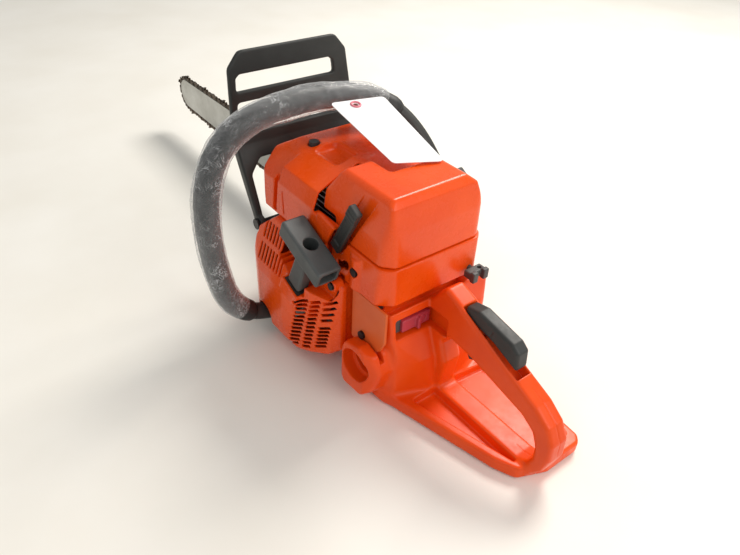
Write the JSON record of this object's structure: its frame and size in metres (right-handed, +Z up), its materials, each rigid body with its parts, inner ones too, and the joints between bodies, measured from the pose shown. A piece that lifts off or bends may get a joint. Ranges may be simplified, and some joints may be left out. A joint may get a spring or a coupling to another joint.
{
  "type": "chainsaw",
  "caption": "Petrol chainsaw with guide bar and chain, looped rear handle, wrapped tubular front handle, tilting hand guard, pull starter, choke, stop switch and latched filter cover.",
  "frame": {"origin": "on the plane the saw stands on, straight under the crankshaft axis, in the cylinder's middle plane", "axes": "+X forward along the guide bar, +Y to the starter side, +Z up"},
  "size_m": [1.0256, 0.3106, 0.333],
  "materials": {
    "orange_cover": "moulded orange nylon, glossy",
    "orange_tank": "moulded orange nylon, semi-gloss",
    "tan_panel": "moulded orange-brown nylon",
    "black_plastic": "charcoal glass-filled nylon, fine grain",
    "grey_plastic": "dark grey nylon, scuffed",
    "red_plastic": "pink-red moulded plastic",
    "magnesium": "cast magnesium, bead-blasted",
    "cast_alloy": "cast aluminium",
    "machined_alloy": "turned aluminium",
    "bar_steel": "ground bar steel",
    "bright_steel": "machined steel, oiled",
    "dark_steel": "blackened steel",
    "chain_steel": "oiled chain steel with brown film",
    "muffler_steel": "heat-resistant black paint",
    "rubber": "moulded rubber",
    "filter_felt": "filter mesh",
    "rope_fibre": "braided polyester",
    "ceramic": "glazed insulator with a steel shell",
    "clear_film": "clear polythene film, crinkled",
    "card": "coated card, blank"
  },
  "bodies": {
    "saw": {"crankcase_left": "magnesium", "crankcase_right": "magnesium", "main_bearings": "bright_steel", "engine_cylinder": "cast_alloy", "cylinder_bolts": "dark_steel", "spark_plug": "ceramic", "plug_cap": "rubber", "muffler": "muffler_steel", "ignition_coil": "black_plastic", "intake_boot": "rubber", "carburettor": "cast_alloy", "air_filter": "filter_felt", "filter_cover": "orange_cover", "cylinder_cover": "orange_cover", "intake_housing": "orange_cover", "side_panel": "tan_panel", "screws": "dark_steel", "tank_handle": "orange_tank", "fuel_pickup": "rubber", "starter_housing": "orange_cover", "rope_guide": "black_plastic", "brake_band": "dark_steel", "oil_pump": "cast_alloy", "clutch_cover": "orange_cover", "bar_studs": "bright_steel", "bar_nuts": "bright_steel", "guide_bar": "bar_steel", "saw_chain": "chain_steel", "chain_catcher": "machined_alloy", "spiked_bumper": "dark_steel", "front_handle": "black_plastic", "handle_grip": "rubber", "grip_film": "clear_film", "hang_tag": "card", "av_mounts": "rubber"},
    "crank": {"crankshaft": "bright_steel", "flywheel": "cast_alloy", "clutch_hub": "dark_steel", "clutch_shoes": "bright_steel"},
    "drum": {"clutch_drum": "dark_steel", "rim_sprocket": "dark_steel", "drum_bearing": "bright_steel"},
    "bar_nose": {"nose_sprocket": "bright_steel"},
    "piston_set": {"piston": "machined_alloy", "piston_rings": "dark_steel", "rod_pins": "bright_steel", "connecting_rod": "bright_steel"},
    "left_latch": {"latch_left": "black_plastic"},
    "right_latch": {"latch_right": "black_plastic"},
    "pressure_valve": {"decompression_valve": "black_plastic"},
    "trigger": {"throttle_trigger": "black_plastic"},
    "lock": {"throttle_lock": "black_plastic"},
    "switch": {"stop_switch": "red_plastic"},
    "choke": {"choke_knob": "grey_plastic"},
    "guard": {"hand_guard": "black_plastic"},
    "pull_grip": {"starter_grip": "grey_plastic", "starter_rope": "rope_fibre"},
    "rope_pulley": {"starter_pulley": "black_plastic", "recoil_spring": "bright_steel"},
    "bar_oil_cap": {"oil_cap": "black_plastic"}
  },
  "joints": [
    {"name": "crank_spin", "type": "hinge", "parent": "saw", "child": "crank", "pos_m": [0, 0, 0.085], "axis": [0, 1, 0], "continuous": true},
    {"name": "drum_spin", "type": "hinge", "parent": "saw", "child": "drum", "pos_m": [0, -0.08, 0.085], "axis": [0, 1, 0], "continuous": true},
    {"name": "nose_spin", "type": "hinge", "parent": "saw", "child": "bar_nose", "pos_m": [0.64094, -0.063, 0.085], "axis": [0, 1, 0], "continuous": true},
    {"name": "piston_slide", "type": "slide", "parent": "saw", "child": "piston_set", "axis": [0, 0, 1], "range_m": [0, 0.038]},
    {"name": "guard_tilt", "type": "hinge", "parent": "saw", "child": "guard", "pos_m": [0.074, 0, 0.135], "axis": [0, 1, 0], "range_deg": [0, 20]},
    {"name": "trigger_pull", "type": "hinge", "parent": "saw", "child": "trigger", "pos_m": [-0.201, 0, 0.112], "axis": [0, 1, 0], "range_deg": [0, 18], "stiffness_Nm_per_rad": 0.4, "springref_deg": -17.19},
    {"name": "lock_press", "type": "hinge", "parent": "saw", "child": "lock", "pos_m": [-0.2125, 0, 0.142], "axis": [0, -1, 0], "range_deg": [0, 12], "stiffness_Nm_per_rad": 0.6, "springref_deg": -17.19},
    {"name": "stop_slide", "type": "slide", "parent": "saw", "child": "switch", "axis": [0, -1, 0], "range_m": [0, 0.006]},
    {"name": "choke_pull", "type": "slide", "parent": "saw", "child": "choke", "axis": [-1, 0, 0], "range_m": [0, 0.015]},
    {"name": "left_latch_swing", "type": "hinge", "parent": "saw", "child": "left_latch", "pos_m": [-0.07267, 0.0785, 0.17681], "axis": [-0.8746, 0, -0.4848], "range_deg": [0, 60]},
    {"name": "right_latch_swing", "type": "hinge", "parent": "saw", "child": "right_latch", "pos_m": [-0.07267, -0.0665, 0.17681], "axis": [0.8746, 0, 0.4848], "range_deg": [0, 60]},
    {"name": "valve_press", "type": "slide", "parent": "saw", "child": "pressure_valve", "axis": [0, 0, -1], "range_m": [0, 0.004], "stiffness_N_per_m": 600, "springref_m": -0.004},
    {"name": "starter_pull", "type": "slide", "parent": "saw", "child": "pull_grip", "axis": [-0.3746, 0, 0.9272], "range_m": [0, 0.85], "stiffness_N_per_m": 15, "springref_m": -0.7, "deforming": ["starter_rope"]},
    {"name": "pulley_spin", "type": "hinge", "parent": "saw", "child": "rope_pulley", "pos_m": [0, 0.081, 0.085], "axis": [0, 1, 0], "range_deg": [0, 1650], "deforming": ["recoil_spring"]},
    {"name": "oil_cap_turn", "type": "hinge", "parent": "saw", "child": "bar_oil_cap", "pos_m": [0.092, 0.042, 0.034], "axis": [0, 1, 0], "range_deg": [0, 360]}
  ],
  "couplings": [
    {"joint": "nose_spin", "follows": "drum_spin", "ratio": 0.7},
    {"joint": "pulley_spin", "follows": "starter_pull", "rad_per_m": 32.787}
  ]
}
